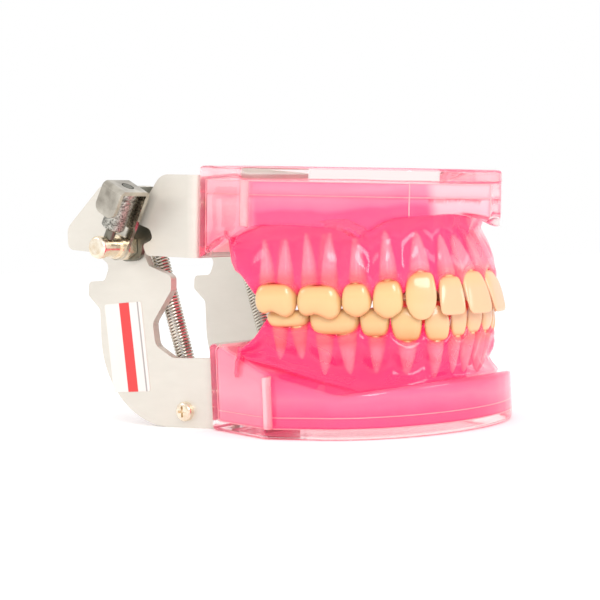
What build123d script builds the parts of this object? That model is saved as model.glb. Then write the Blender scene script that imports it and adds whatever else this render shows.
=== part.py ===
"""Typodont: two clear acrylic jaws with teeth on a sprung sheet-metal articulator.

Millimetres, +Z up. The front teeth face -Y and the patient's right side is at -X.
The model is drawn from the back plane of the acrylic bases (y = 0) and is moved at the end,
so that the origin is the middle of the foot print, on the surface that it stands on.
"""
from build123d import *
from math import atan2, cos, degrees, hypot, radians, sin
import os

# ---- driving dimensions -------------------------------------------------------------------
TOP_Z = 61.06                 # height of the upper base's top edge at its back plane
UPPER_TILT = 4.0              # degrees that the closed upper jaw slopes down to the front

LOWER_HALF = 21.0             # outer half width of the lower frame
LOWER_SHEET = 2.0             # its sheet thickness
UPPER_HALF = 24.2             # outer half width of the upper frame
UPPER_SHEET = 1.85
SEAT_GAP = 0.05               # bases seat on the webs with this gap
BEND = 3.0                    # outer bend radius of both channels
ARM_SHEET = 1.2
BASE_SCREW_X = 12.0           # the bases' screws: half distance apart and heights
LOWER_SCREW_Z = 8.0
UPPER_SCREW_Z = 52.0

HINGE_Y, HINGE_Z = 24.0, 43.2
HINGE_R = 1.5                 # shank radius of the hinge bolt
RUN = 0.05                    # radial running clearance
SNUG = 0.02                   # radial gap of the holes that fixed pieces sit in
OPEN_ANGLE = 62.0             # opening, set by the arc slot

SPRING_X = 16.5               # plane of each spring
SPRING_R = 2.2                # outer radius of the coil
WIRE_R = 0.34
HOOK_R = 1.75                 # centreline radius of the hook rings
EYE_SHEET = 0.8               # their thickness, a little over the wire's
SPRING_SCREW_R = 1.25
LOWER_PIN = (9.2, 3.9)        # y, z of the lower spring screw
UPPER_PIN = (22.2, 50.0)      # y, z of the upper spring pin
PIN_R = 1.0
SLOT_GAP = 0.35               # room round the pin in the arc slot

ADJUST_X = 30.45              # plane of the knurled nut's axis
ADJUST_TILT = 29.7            # degrees that the axis leans to the front
STRAP_SHEET = 1.0

UPPER_PLAN = [(23.9, 0), (35.5, -21.7), (19.4, -55.3), (0, -66.0)]
LOWER_HEEL = [(23.2, 0), (35.1, -24.9)]
LOWER_SIDE = (33.2, -35.1)    # where the rounded front of the lower base starts
LOWER_TIP_Y = -60.1
UPPER_BLOCK_Z = 49.0          # underside of the upper base, along its sides
LOWER_FLOOR_Z = 9.5           # lowest part of the lower base's rim

# arch of the outer tooth faces: half width, depth, power and the y of its front
UPPER_ARCH = (29.15, 42.74, 2.52, -62.8)
LOWER_ARCH = (26.9, 41.0, 2.5, -60.0)
BITE_Z = 27.8                 # level where the chewing faces meet
BITE_GAP = 0.3

# name, width along the arch, inner width as a share of it, depth across the arch,
# gum line, lowest edge, root tip
UPPER_TEETH = [
    ("central_incisor", 8.5, 0.55, 5.6, 35.1, 25.5, 43.0),
    ("lateral_incisor", 6.6, 0.40, 5.2, 34.1, 25.5, 43.0),
    ("canine", 7.6, 0.50, 7.0, 35.4, 24.7, 44.0),
    ("first_premolar", 7.0, 0.70, 8.6, 33.7, 25.0, 44.5),
    ("second_premolar", 6.8, 0.80, 8.6, 33.3, 25.5, 43.5),
    ("first_molar", 10.3, 0.86, 10.4, 33.1, 25.2, 44.5),
    ("second_molar", 9.8, 0.86, 10.2, 33.8, 26.0, 43.5),
]
# name, width along the arch, inner width as a share of it, depth, gum line, root tip
LOWER_TEETH = [
    ("central_incisor", 5.4, 0.48, 5.0, 21.0, 12.5),
    ("lateral_incisor", 4.4, 0.40, 5.2, 20.5, 12.5),
    ("canine", 6.2, 0.52, 6.6, 19.7, 11.5),
    ("first_premolar", 7.2, 0.70, 7.2, 19.9, 12.5),
    ("second_premolar", 6.8, 0.78, 7.8, 21.2, 13.0),
    ("first_molar", 11.4, 0.88, 9.8, 21.8, 13.0),
    ("second_molar", 10.0, 0.88, 9.6, 23.8, 16.6),
]
TOOTH_GAP = 0.16              # between neighbours
SKIRT = 1.2                   # thickness of the outer edge that overlaps the lower teeth

parts = {}


# ---- helpers ------------------------------------------------------------------------------
def side_plate(points, radii, x_from, x_to):
    """A plate in the YZ plane from a closed outline with one corner radius per point."""
    outline = FilletPolyline(*points, radius=radii, close=True)
    face = make_face(Plane.YZ * outline)
    return extrude(face, amount=x_to - x_from, dir=(1, 0, 0)).moved(Location((x_from, 0, 0)))


def rod(radius, x_from, x_to, y, z):
    """A cylinder along X."""
    length = abs(x_to - x_from)
    middle = (x_from + x_to) / 2
    return Pos(middle, y, z) * Rot(0, 90, 0) * Cylinder(radius, length)


def hexagon(across, x_from, x_to, y, z):
    """A hexagonal prism along X."""
    corner = across / 2 / cos(radians(30))
    prism = extrude(RegularPolygon(corner, 6), amount=abs(x_to - x_from))
    return Pos(min(x_from, x_to), y, z) * Rot(0, 90, 0) * prism


def both(solid):
    """The solid and its mirror image across the midline, as one group."""
    return Compound(children=[solid, mirror(solid, about=Plane.YZ)])


def tilt(solid):
    """From the upper jaw's square position to its closed one."""
    return solid.rotate(Axis((0, 0, TOP_Z), (1, 0, 0)), UPPER_TILT)


def channel(half, sheet, depth, height):
    """A U channel in plan: web on the back plane of a base, side plates towards the back."""
    outer = Pos(0, SEAT_GAP + depth / 2, 0) * Rectangle(2 * half, depth)
    outer = fillet(outer.vertices().group_by(Axis.Y)[0], BEND)
    inner = Pos(0, SEAT_GAP + sheet + depth / 2, 0) * Rectangle(2 * (half - sheet), depth)
    inner = fillet(inner.vertices().group_by(Axis.Y)[0], BEND - sheet)
    return extrude(outer - inner, amount=height)


def walk(arch, distance):
    """Point on the arch and its tangent angle, at a distance along it from the midline."""
    half_width, depth, power, front = arch
    step = 0.0005
    t = step
    travelled = 0.0
    x = y = slope_x = slope_y = 0.0
    while travelled < distance or t < 3 * step:
        new_x = half_width * t
        new_y = depth * t ** power
        slope_x, slope_y = new_x - x, new_y - y
        travelled += hypot(slope_x, slope_y)
        x, y = new_x, new_y
        t += step
    return x, front + y, degrees(atan2(slope_y, slope_x))


def beside(arch, distance, outward):
    """A point beside the arch; outward is towards the cheek and lips."""
    x, y, angle = walk(arch, distance)
    turn = radians(angle)
    return x + outward * sin(turn), y - outward * cos(turn)


def horseshoe(arch, outward, inward, reach, z_from, z_to):
    """A ridge round the arch between two offsets, out to a distance along it."""
    stations = [reach * (i / 8) for i in range(1, 9)]
    outer = [beside(arch, s, outward) for s in stations]
    inner = [beside(arch, s, -inward) for s in stations]
    outer_y = arch[3] - outward
    inner_y = arch[3] + inward
    outer_curve = Spline([(-x, y) for x, y in reversed(outer)] + [(0, outer_y)] + outer)
    inner_curve = Spline([(-x, y) for x, y in reversed(inner)] + [(0, inner_y)] + inner)
    ends = [Line(outer_curve @ 0, inner_curve @ 0), Line(outer_curve @ 1, inner_curve @ 1)]
    face = make_face([outer_curve, inner_curve] + ends)
    return Pos(0, 0, z_from) * extrude(face, amount=z_to - z_from)


def arch_plate(arch, outward, reach, z_from, z_to):
    """A plate that fills the arch out to an offset, closed straight across the back."""
    stations = [reach * (i / 8) for i in range(1, 9)]
    outer = [beside(arch, s, outward) for s in stations]
    curve = Spline([(-x, y) for x, y in reversed(outer)] + [(0, arch[3] - outward)] + outer)
    face = make_face([curve, Line(curve @ 0, curve @ 1)])
    return Pos(0, 0, z_from) * extrude(face, amount=z_to - z_from)


# ---- frames -------------------------------------------------------------------------------
def make_lower_frame():
    """Channel with tall side plates: heel curve, rear bump, head over the hinge, front notch."""
    outline = [
        (0.0, 0.0), (35.5, 0.0), (35.5, 28.2), (39.2, 31.6), (38.8, 35.0), (33.6, 35.1),
        (31.8, 38.8), (36.2, 42.0), (45.4, 43.1), (45.4, 48.4), (33.8, 58.0), (18.0, 57.4),
        (18.8, 46.4), (21.3, 43.1), (19.1, 38.4), (12.2, 35.8), (12.4, 32.4), (18.6, 24.8),
        (18.0, 19.4), (12.8, 16.4), (0.0, 16.4),
    ]
    radii = [0.4, 21.0, 1.6, 1.2, 1.2, 1.4, 1.6, 2.6, 1.8, 3.0, 2.0, 1.6,
             2.0, 1.2, 1.2, 1.4, 1.4, 2.4, 2.4, 3.2, 0.4]
    silhouette = side_plate(outline, radii, -LOWER_HALF - 1, LOWER_HALF + 1)
    frame = channel(LOWER_HALF, LOWER_SHEET, 50, 62) & silhouette
    frame -= rod(HINGE_R + SNUG, -30, 30, HINGE_Y, HINGE_Z)
    frame -= rod(SPRING_SCREW_R + SNUG, -30, 30, *LOWER_PIN)
    reach = hypot(UPPER_PIN[0] - HINGE_Y, UPPER_PIN[1] - HINGE_Z)
    start = degrees(atan2(UPPER_PIN[1] - HINGE_Z, UPPER_PIN[0] - HINGE_Y))
    arc = CenterArc((HINGE_Y, HINGE_Z), reach, start, -OPEN_ANGLE)
    slot = SlotArc(arc, 2 * (PIN_R + SLOT_GAP))
    frame -= extrude(Plane.YZ * slot, amount=60, both=True)
    for x in (-BASE_SCREW_X, BASE_SCREW_X):
        frame -= Pos(x, 0, LOWER_SCREW_Z) * Rot(90, 0, 0) * Cylinder(1.6, 10)
    return frame


def make_upper_frame():
    """Channel with short side plates, cut back at a slope and notched under it."""
    outline = [
        (0.0, 39.7), (15.4, 39.7), (16.6, 42.2), (13.4, 43.6), (14.4, 46.0),
        (19.8, 47.6), (11.2, 58.9), (0.0, 58.9),
    ]
    radii = [0.4, 1.6, 0.8, 1.0, 1.6, 0.8, 4.5, 0.4]
    silhouette = side_plate(outline, radii, -UPPER_HALF - 1, UPPER_HALF + 1)
    frame = channel(UPPER_HALF, UPPER_SHEET, 30, 70) & silhouette
    for x in (-BASE_SCREW_X, BASE_SCREW_X):
        frame -= Pos(x, 0, UPPER_SCREW_Z) * Rot(90, 0, 0) * Cylinder(1.6, 10)
    return tilt(frame)


def make_hinge_arm():
    """Plate welded inside the upper frame's side plate, with the eye for the hinge bolt."""
    inner = UPPER_HALF - UPPER_SHEET
    outline = [
        (5.0, 47.5), (14.0, 46.5), (19.6, 43.6), (20.2, 39.6), (28.0, 39.6), (28.4, 47.0),
        (25.0, 57.2), (15.0, 57.0), (5.0, 56.0),
    ]
    radii = [1.0, 2.0, 1.5, 3.4, 3.6, 3.0, 1.4, 1.0, 1.0]
    arm = side_plate(outline, radii, -inner, -inner + ARM_SHEET)
    arm -= rod(HINGE_R + RUN, -30, 0, HINGE_Y, HINGE_Z)
    arm -= rod(PIN_R + SNUG, -30, 0, *UPPER_PIN)
    return arm


parts["lower_frame"] = make_lower_frame()
parts["upper_frame"] = make_upper_frame()
arm = make_hinge_arm()
parts["right_hinge_arm"] = arm
parts["left_hinge_arm"] = mirror(arm, about=Plane.YZ)


# ---- hinge stack, from the side plate outwards ----------------------------------------------
def tube(outer, inner, x_from, x_to, y, z):
    """A washer or sleeve along X."""
    return rod(outer, x_from, x_to, y, z) - rod(inner, x_from - 1, x_to + 1, y, z)


NUT_IN = UPPER_HALF - UPPER_SHEET + 0.15
NUT_OUT = NUT_IN + 2.6
STRAP_IN = NUT_OUT + 0.6
STRAP_OUT = STRAP_IN + STRAP_SHEET
SLEEVE_IN = STRAP_OUT + 0.6
SLEEVE_OUT = SLEEVE_IN + 3.8
HEAD_IN = SLEEVE_OUT + 0.7
HEAD_OUT = HEAD_IN + 2.0
SLEEVE_R = 2.4

hinge = (HINGE_Y, HINGE_Z)
shank = rod(HINGE_R, -HEAD_IN, -(LOWER_HALF - LOWER_SHEET) + 1.4, *hinge)
head = rod(2.7, -HEAD_OUT, -HEAD_IN, *hinge)
head = fillet(head.edges().group_by(Axis.X)[0], 0.9)
parts["hinge_bolts"] = both(shank + head)
nut = hexagon(5.5, -NUT_OUT, -NUT_IN, *hinge) - rod(HINGE_R + SNUG, -40, 0, *hinge)
parts["hinge_nuts"] = both(nut)
washers = []
for x_in, x_out, radius in ((NUT_OUT, STRAP_IN, 3.1), (STRAP_OUT, SLEEVE_IN, 2.9), (SLEEVE_OUT, HEAD_IN, 2.35)):
    washer = tube(radius, HINGE_R + SNUG, -x_out, -x_in, *hinge)
    washers += [washer, mirror(washer, about=Plane.YZ)]
parts["hinge_washers"] = Compound(children=washers)
parts["hinge_sleeves"] = both(tube(SLEEVE_R, HINGE_R + SNUG, -SLEEVE_OUT, -SLEEVE_IN, *hinge))


# ---- knurled nut, its stud and the strap that holds it ----------------------------------------
STUD_R = 1.25
KNURL_R = 2.8
STRAP_TOP = 16.0              # height of the strap's top above the hinge axis
STRAP_HALF = 3.2              # half width of the strap
STRAP_FAR = ADJUST_X + 4.0    # plane of the outer leg
NUT_FOOT = 5.0                # the knurled nut runs from here to just under the strap


def on_adjuster(solid):
    """From a frame with its axis straight up at the hinge to the leaning axis."""
    return Pos(0, HINGE_Y, HINGE_Z) * (Rot(ADJUST_TILT, 0, 0) * solid)


def block(x_from, x_to, y_from, y_to, z_from, z_to):
    """A box from its limits."""
    size = (x_to - x_from, y_to - y_from, z_to - z_from)
    centre = ((x_from + x_to) / 2, (y_from + y_to) / 2, (z_from + z_to) / 2)
    return Pos(*centre) * Box(*size)


def make_strap():
    """Bent strip: eye on the hinge bolt, long inner leg, top, and a short outer leg."""
    inner_leg = block(-STRAP_OUT, -STRAP_IN, -STRAP_HALF, STRAP_HALF, 0, STRAP_TOP)
    inner_leg += rod(STRAP_HALF, -STRAP_OUT, -STRAP_IN, 0, 0)
    far = STRAP_FAR + STRAP_SHEET
    top = block(-far, -STRAP_IN, -STRAP_HALF, STRAP_HALF, STRAP_TOP - STRAP_SHEET, STRAP_TOP)
    outer_leg = block(-far, -STRAP_FAR, -STRAP_HALF, STRAP_HALF, 8.6, STRAP_TOP)
    strap = inner_leg + top + outer_leg
    rounded = [edge for edge in strap.edges().filter_by(Axis.Y) if edge.center().Z > STRAP_TOP - 0.01]
    strap = fillet(rounded, STRAP_SHEET * 1.4)
    toe = [edge for edge in strap.edges().filter_by(Axis.X) if abs(edge.center().Z - 8.6) < 0.01]
    strap = fillet(toe, 2.0)
    strap -= rod(HINGE_R + SNUG, -40, 0, 0, 0)
    strap -= Pos(-ADJUST_X, 0, STRAP_TOP) * Cylinder(STUD_R + 0.25, 6)
    return on_adjuster(strap)


def make_knurled_nut():
    """Threaded barrel with a straight knurl and a plain collar at its top."""
    top = STRAP_TOP - STRAP_SHEET - 0.1
    barrel = Pos(-ADJUST_X, 0, (NUT_FOOT + top) / 2) * Cylinder(KNURL_R, top - NUT_FOOT)
    barrel = chamfer(barrel.edges().group_by(Axis.Z)[0], 0.5)
    barrel -= Pos(-ADJUST_X, 0, 10) * Cylinder(STUD_R + RUN, 20)
    groove = Pos(-ADJUST_X, 0, top - 1.6) * (Cylinder(KNURL_R + 1, 0.5) - Cylinder(KNURL_R - 0.45, 0.5))
    return on_adjuster(barrel - groove)


def make_stud():
    """Threaded stud: its foot bears on the sleeve, its top ends in the strap."""
    foot = SLEEVE_R + 0.06
    stud = Pos(-ADJUST_X, 0, (foot + STRAP_TOP) / 2) * Cylinder(STUD_R, STRAP_TOP - foot)
    return on_adjuster(stud)


for side, place in (("right", lambda solid: solid), ("left", lambda solid: mirror(solid, about=Plane.YZ))):
    parts[side + "_strap"] = place(make_strap())
    parts[side + "_knurled_nut"] = place(make_knurled_nut())
    parts[side + "_stud"] = place(make_stud())


# ---- springs and what holds them ---------------------------------------------------------------
def make_spring():
    """Tension spring as its envelope: a cylinder for the coil and a flat eye at each end."""
    (y0, z0), (y1, z1) = LOWER_PIN, UPPER_PIN
    length = hypot(y1 - y0, z1 - z0)
    lean = degrees(atan2(-(y1 - y0), z1 - z0))
    first, last = 2 * HOOK_R + 0.6, length - 2 * HOOK_R - 0.6
    spring = Pos(0, 0, (first + last) / 2) * Cylinder(SPRING_R, last - first)
    for centre, stem_from, stem_to in ((0, HOOK_R, first + 0.5), (length, last - 0.5, length - HOOK_R)):
        eye = Cylinder(HOOK_R + WIRE_R, EYE_SHEET) - Cylinder(HOOK_R - WIRE_R, 2 * EYE_SHEET)
        spring += Pos(0, 0, centre) * Rot(0, 90, 0) * eye
        spring += Pos(0, 0, (stem_from + stem_to) / 2) * Cylinder(WIRE_R, stem_to - stem_from)
    return Pos(-SPRING_X, y0, z0) * (Rot(lean, 0, 0) * spring)


left_spring = mirror(make_spring(), about=Plane.YZ)
parts["left_spring"] = left_spring
parts["right_spring"] = mirror(left_spring, about=Plane.YZ)

inner_plate = LOWER_HALF - LOWER_SHEET
screw = rod(SPRING_SCREW_R, -LOWER_HALF, -SPRING_X + 1.6, *LOWER_PIN)
screw_head = rod(2.3, -LOWER_HALF - 1.6, -LOWER_HALF, *LOWER_PIN)
screw_head = fillet(screw_head.edges().group_by(Axis.X)[0], 0.9)
cross_depth = 0.9
for long_y, long_z in ((2.6, 0.6), (0.6, 2.6)):
    cross = Box(cross_depth, long_y, long_z)
    screw_head -= Pos(-LOWER_HALF - 1.6 + cross_depth / 2, *LOWER_PIN) * cross
parts["spring_screws"] = both(screw + screw_head)
screw_nut = hexagon(4.6, -inner_plate, -inner_plate + 1.8, *LOWER_PIN)
screw_nut -= rod(SPRING_SCREW_R + SNUG, -40, 0, *LOWER_PIN)
parts["spring_screw_nuts"] = both(screw_nut)

pin_out = -(UPPER_HALF - UPPER_SHEET)
pin = rod(PIN_R, pin_out, -SPRING_X + 1.4, *UPPER_PIN) + rod(1.6, -SPRING_X + 0.7, -SPRING_X + 1.4, *UPPER_PIN)
parts["spring_pins"] = both(pin)


# ---- acrylic bases --------------------------------------------------------------------------------
def mirrored_plan(points):
    """Both halves of a plan outline given from the back to the front tip."""
    return points + [(-x, y) for x, y in reversed(points) if x > 0]


def trim(profile, half=60):
    """A prism across the model from a side profile in y and z."""
    face = make_face(Plane.YZ * Polyline(*profile, close=True))
    return extrude(face, amount=half, both=True)


def base_screws(z, back):
    """Two screws along Y from behind the web into the base."""
    screws = []
    for x in (-BASE_SCREW_X, BASE_SCREW_X):
        body = Pos(x, (back - 7) / 2, z) * Rot(90, 0, 0) * Cylinder(1.5, back + 7)
        cap = Pos(x, back + 0.8, z) * Rot(90, 0, 0) * Cylinder(2.7, 1.6)
        slot = Pos(x, back + 1.4, z) * Box(4.4, 0.8, 0.7)
        screws.append(body + cap - slot)
    return screws


def drill(solid, z):
    """Blind holes for the two base screws."""
    for x in (-BASE_SCREW_X, BASE_SCREW_X):
        solid -= Pos(x, -3.5, z) * Rot(90, 0, 0) * Cylinder(1.5 + SNUG, 7.1)
    return solid


upper_plan = make_face(Polyline(*mirrored_plan(UPPER_PLAN), close=True))
upper_base = extrude(upper_plan, amount=TOP_Z)
upper_base = fillet(upper_base.edges().filter_by(Axis.Z), 0.8)
upper_underside = [(-2, 40), (-22, UPPER_BLOCK_Z - 1), (-80, UPPER_BLOCK_Z)]
upper_base &= trim([(0, 40)] + upper_underside + [(-80, TOP_Z), (0, TOP_Z)])
upper_base = fillet(upper_base.edges().group_by(Axis.Z)[-1], 0.6)
upper_base = drill(upper_base, UPPER_SCREW_Z)
parts["upper_base"] = tilt(upper_base)
parts["upper_base_screws"] = tilt(Compound(children=base_screws(UPPER_SCREW_Z, SEAT_GAP + UPPER_SHEET)))

heel_x, heel_y = LOWER_HEEL[1]
side_x, side_y = LOWER_SIDE
front_arc = EllipticalCenterArc((0, side_y), side_x, side_y - LOWER_TIP_Y, 180, arc_size=180)
lower_outline = [
    front_arc,
    Line((side_x, side_y), (heel_x, heel_y)),
    Line((heel_x, heel_y), LOWER_HEEL[0]),
    Line(LOWER_HEEL[0], (-LOWER_HEEL[0][0], 0)),
    Line((-LOWER_HEEL[0][0], 0), (-heel_x, heel_y)),
    Line((-heel_x, heel_y), (-side_x, side_y)),
]
lower_base = extrude(make_face(lower_outline), amount=30)
lower_base = fillet(lower_base.edges().filter_by(Axis.Z), 0.8)
lower_base &= trim([(0, 0), (0, 20), (-3, 20), (-25, 14), (-41, LOWER_FLOOR_Z), (-62, 12), (-62, 0)])
lower_base = fillet(lower_base.edges().group_by(Axis.Z)[0], 0.5)
lower_base = drill(lower_base, LOWER_SCREW_Z)
parts["lower_base"] = lower_base
parts["lower_base_screws"] = Compound(children=base_screws(LOWER_SCREW_Z, SEAT_GAP + LOWER_SHEET))


# ---- teeth and gums ---------------------------------------------------------------------------------
def place_tooth(solid, arch, distance):
    """From a tooth at the origin with its outer face at y = 0, facing -Y, to its place."""
    x, y, angle = walk(arch, distance)
    return Pos(x, y, 0) * (Rot(0, 0, angle) * solid)


def tooth(width, share, depth, gum_z, chew_z, apex_z):
    """Crown as a rounded wedge-shaped block, root as a cone."""
    low, high = min(gum_z, chew_z), max(gum_z, chew_z)
    wide = width - TOOTH_GAP
    narrow = wide * share
    outline = Polyline((-wide / 2, 0), (wide / 2, 0), (narrow / 2, depth), (-narrow / 2, depth), close=True)
    crown = Pos(0, 0, low) * extrude(make_face(outline), amount=high - low)
    crown = fillet(crown.edges().filter_by(Axis.Z), min(narrow, depth) * 0.3)
    root_length = abs(apex_z - gum_z)
    root_r = min((wide + narrow) / 2, depth) * 0.4
    root = Cone(root_r, root_r * 0.45, root_length)
    if apex_z < gum_z:
        root = Rot(180, 0, 0) * root
    return crown + Pos(0, depth / 2, (gum_z + apex_z) / 2) * root


def upper_tooth(width, share, depth, gum_z, edge_z, apex_z):
    """An upper tooth, with the outer edge that overlaps the lower teeth."""
    solid = tooth(width, share, depth, gum_z, BITE_Z + BITE_GAP / 2, apex_z)
    wide = (width - TOOTH_GAP) * 0.74
    skirt = Pos(0, SKIRT / 2, (edge_z + BITE_Z + 2) / 2) * Box(wide, SKIRT, BITE_Z + 2 - edge_z)
    return solid + skirt


def add_teeth(jaw, arch, rows, build):
    """One node per tooth, on both sides. Returns the solids, for the sockets."""
    solids = []
    distance = 0.0
    for name, width, *dims in rows:
        middle = distance + width / 2
        distance += width
        left = place_tooth(build(width, *dims), arch, middle)
        right = mirror(left, about=Plane.YZ)
        parts[f"{jaw}_left_{name}"] = left
        parts[f"{jaw}_right_{name}"] = right
        solids += [left, right]
    return solids


upper_teeth = add_teeth("upper", UPPER_ARCH, UPPER_TEETH, upper_tooth)
lower_teeth = add_teeth(
    "lower", LOWER_ARCH, LOWER_TEETH,
    lambda width, share, depth, gum, apex: tooth(width, share, depth, gum, BITE_Z - BITE_GAP / 2, apex))

PALATE_Z = 44.5
GUM_INSET = 0.8               # the gums stay inside the bases' heels by this


def heel_trim(heel):
    """A prism that keeps a gum just inside the slanted heel faces of its base."""
    (back_x, back_y), (side_x, side_y) = heel
    front_y = -80
    right = [(back_x - GUM_INSET, back_y - GUM_INSET), (side_x - GUM_INSET, side_y), (side_x, front_y)]
    outline = right + [(-x, y) for x, y in reversed(right)]
    return extrude(make_face(Polyline(*outline, close=True)), amount=TOP_Z)


upper_gum = horseshoe(UPPER_ARCH, -1.2, 11.5, 66, 33.4, 54)
upper_gum += arch_plate(UPPER_ARCH, -1.8, 66, PALATE_Z, 54)
upper_gum &= heel_trim(UPPER_PLAN[:2])
upper_gum &= tilt(trim([(-2, 20)] + upper_underside + [(-80, 20)]))
for solid in upper_teeth:
    upper_gum -= solid
parts["upper_gum"] = upper_gum

lower_gum = horseshoe(LOWER_ARCH, -0.6, 10.5, 62, 4, 20.6)
lower_gum &= heel_trim(LOWER_HEEL)
for solid in [lower_base] + lower_teeth:
    lower_gum -= solid
parts["lower_gum"] = lower_gum


# ---- label ----------------------------------------------------------------------------------------------
label_outline = [(32.0, 7.9), (33.9, 29.3), (22.0, 29.9), (20.2, 8.4)]
parts["side_label"] = side_plate(label_outline, [0.6] * 4, -LOWER_HALF - 0.15, -LOWER_HALF)


# ---- place and write ---------------------------------------------------------------------------------------
boxes = [solid.bounding_box() for solid in parts.values()]
front_y = min(box.min.Y for box in boxes)
back_y = max(box.max.Y for box in boxes)
shift_y = -(front_y + back_y) / 2
print("moved along Y by", round(shift_y, 4), "length", round(back_y - front_y, 3))
os.makedirs("parts", exist_ok=True)
for name, solid in parts.items():
    export_step(solid.moved(Location((0, shift_y, 0))), f"parts/{name}.step")
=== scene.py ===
from math import copysign, cos, exp, hypot, pi, radians, sin

import bpy
import numpy as np
from mathutils import Matrix, Vector


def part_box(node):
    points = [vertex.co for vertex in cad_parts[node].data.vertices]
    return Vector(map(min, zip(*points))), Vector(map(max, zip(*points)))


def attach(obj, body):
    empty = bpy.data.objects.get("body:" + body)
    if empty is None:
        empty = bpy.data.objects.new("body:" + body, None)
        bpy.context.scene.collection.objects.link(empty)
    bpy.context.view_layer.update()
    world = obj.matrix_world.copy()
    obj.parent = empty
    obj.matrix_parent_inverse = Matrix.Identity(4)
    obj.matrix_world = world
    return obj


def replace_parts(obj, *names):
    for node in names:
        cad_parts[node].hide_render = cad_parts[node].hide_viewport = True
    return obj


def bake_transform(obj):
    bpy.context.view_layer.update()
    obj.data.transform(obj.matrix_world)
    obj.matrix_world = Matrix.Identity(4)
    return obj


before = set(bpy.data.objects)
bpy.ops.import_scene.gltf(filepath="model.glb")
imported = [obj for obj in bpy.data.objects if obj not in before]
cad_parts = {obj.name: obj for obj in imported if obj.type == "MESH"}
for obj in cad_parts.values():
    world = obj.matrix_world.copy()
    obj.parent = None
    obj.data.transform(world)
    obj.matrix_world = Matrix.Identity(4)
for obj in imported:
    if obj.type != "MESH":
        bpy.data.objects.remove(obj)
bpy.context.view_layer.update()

# Drawn in millimetres from the back plane of the acrylic bases (y = 0), +Z up, front teeth to -Y,
# the patient's right side at -X. place() turns those numbers into the frame's metres.
MM = 0.001
BACK_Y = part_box("lower_base")[1].y
TOP_Z = 61.06
UPPER_TILT = radians(4.0)

UPPER_PLAN = [(23.9, 0), (35.5, -21.7), (19.4, -55.3), (0, -66.0)]
LOWER_HEEL = [(23.2, 0), (35.1, -24.9)]
LOWER_SIDE = (33.2, -35.1)
LOWER_TIP_Y = -60.1
UPPER_UNDERSIDE = [
    (-70, 48.1), (-65.0, 48.1), (-63.8, 49.9), (-61.6, 51.0), (-59.1, 51.5), (-55.3, 50.7), (-50, 50.2),
    (-48.1, 49.0), (-45.8, 47.2), (-44.1, 45.2), (-41.8, 47.2), (-38.6, 47.9), (-29.8, 48.3), (-24, 48.2),
    (-2, 40), (0, 40),
]
LOWER_RIM = [(-62, 12), (-41, 9.5), (-25, 14), (-3, 20), (0, 20)]

UPPER_ARCH = (29.15, 42.74, 2.52, -62.8)
LOWER_ARCH = (26.9, 41.0, 2.5, -60.0)
BITE_Z = 27.8

# name, width, inner share, depth, gum line, lowest edge, root tip, kind, lean of the crown
UPPER_TEETH = [
    ("central_incisor", 8.5, 0.55, 5.6, 35.1, 25.5, 43.0, "incisor", 0.30),
    ("lateral_incisor", 6.6, 0.45, 5.2, 34.1, 25.5, 43.0, "incisor", 0.26),
    ("canine", 7.6, 0.50, 7.0, 35.4, 24.7, 44.0, "canine", 0.14),
    ("first_premolar", 7.0, 0.70, 8.6, 33.7, 25.0, 44.5, "premolar", 0.04),
    ("second_premolar", 6.8, 0.80, 8.6, 33.3, 25.5, 43.5, "premolar", 0.04),
    ("first_molar", 10.3, 0.86, 10.4, 33.1, 25.2, 44.5, "molar", 0.04),
    ("second_molar", 9.8, 0.86, 10.2, 33.8, 26.0, 43.5, "molar", 0.04),
]
LOWER_TEETH = [
    ("central_incisor", 5.4, 0.55, 5.0, 21.0, 27.65, 12.5, "incisor", 0.12),
    ("lateral_incisor", 4.4, 0.50, 5.2, 20.5, 27.65, 12.5, "incisor", 0.10),
    ("canine", 6.2, 0.52, 6.6, 19.7, 27.65, 11.5, "canine", 0.08),
    ("first_premolar", 7.2, 0.70, 7.2, 19.9, 27.65, 12.5, "premolar", 0.04),
    ("second_premolar", 6.8, 0.78, 7.8, 21.2, 27.65, 13.0, "premolar", 0.04),
    ("first_molar", 11.4, 0.88, 9.8, 21.8, 27.65, 13.0, "molar", 0.04),
    ("second_molar", 10.0, 0.88, 9.6, 23.8, 27.65, 16.6, "molar", 0.04),
]


# ---- helpers ------------------------------------------------------------------------------
def place(x, y, z):
    """A point of the drawing in the frame's metres."""
    return (x * MM, y * MM + BACK_Y, z * MM)


def tilt(x, y, z):
    """The upper base's square position turned to its closed one."""
    rise = z - TOP_Z
    turned_y = y * cos(UPPER_TILT) - rise * sin(UPPER_TILT)
    turned_z = y * sin(UPPER_TILT) + rise * cos(UPPER_TILT)
    return x, turned_y, TOP_Z + turned_z


def smooth(value, low, high):
    """0 below low, 1 above high and a smooth rise between."""
    t = min(1.0, max(0.0, (value - low) / (high - low)))
    return t * t * (3 - 2 * t)


def mesh_object(name, points, faces, material, flip=False):
    """A smooth-shaded mesh from points in millimetres."""
    mesh = bpy.data.meshes.new(name)
    if flip:
        faces = [tuple(reversed(face)) for face in faces]
    mesh.from_pydata([place(*p) for p in points], [], faces)
    mesh.polygons.foreach_set("use_smooth", [True] * len(mesh.polygons))
    mesh.materials.append(material)
    mesh.validate()
    mesh.update()
    obj = bpy.data.objects.new(name, mesh)
    bpy.context.scene.collection.objects.link(obj)
    return obj


def loft(rings, close_ends=True, start=0):
    """Faces between rings of one size, whose points start at the given index."""
    count = len(rings[0])
    faces = []
    for row in range(len(rings) - 1):
        here = start + row * count
        for i in range(count):
            j = (i + 1) % count
            faces.append((here + i, here + j, here + count + j, here + count + i))
    if close_ends:
        faces.append(tuple(start + i for i in reversed(range(count))))
        last = start + (len(rings) - 1) * count
        faces.append(tuple(last + i for i in range(count)))
    return faces


OFF_AXIS = Vector((0.31, 0.87, 0.38))   # a direction that none of the wires runs in


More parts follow.
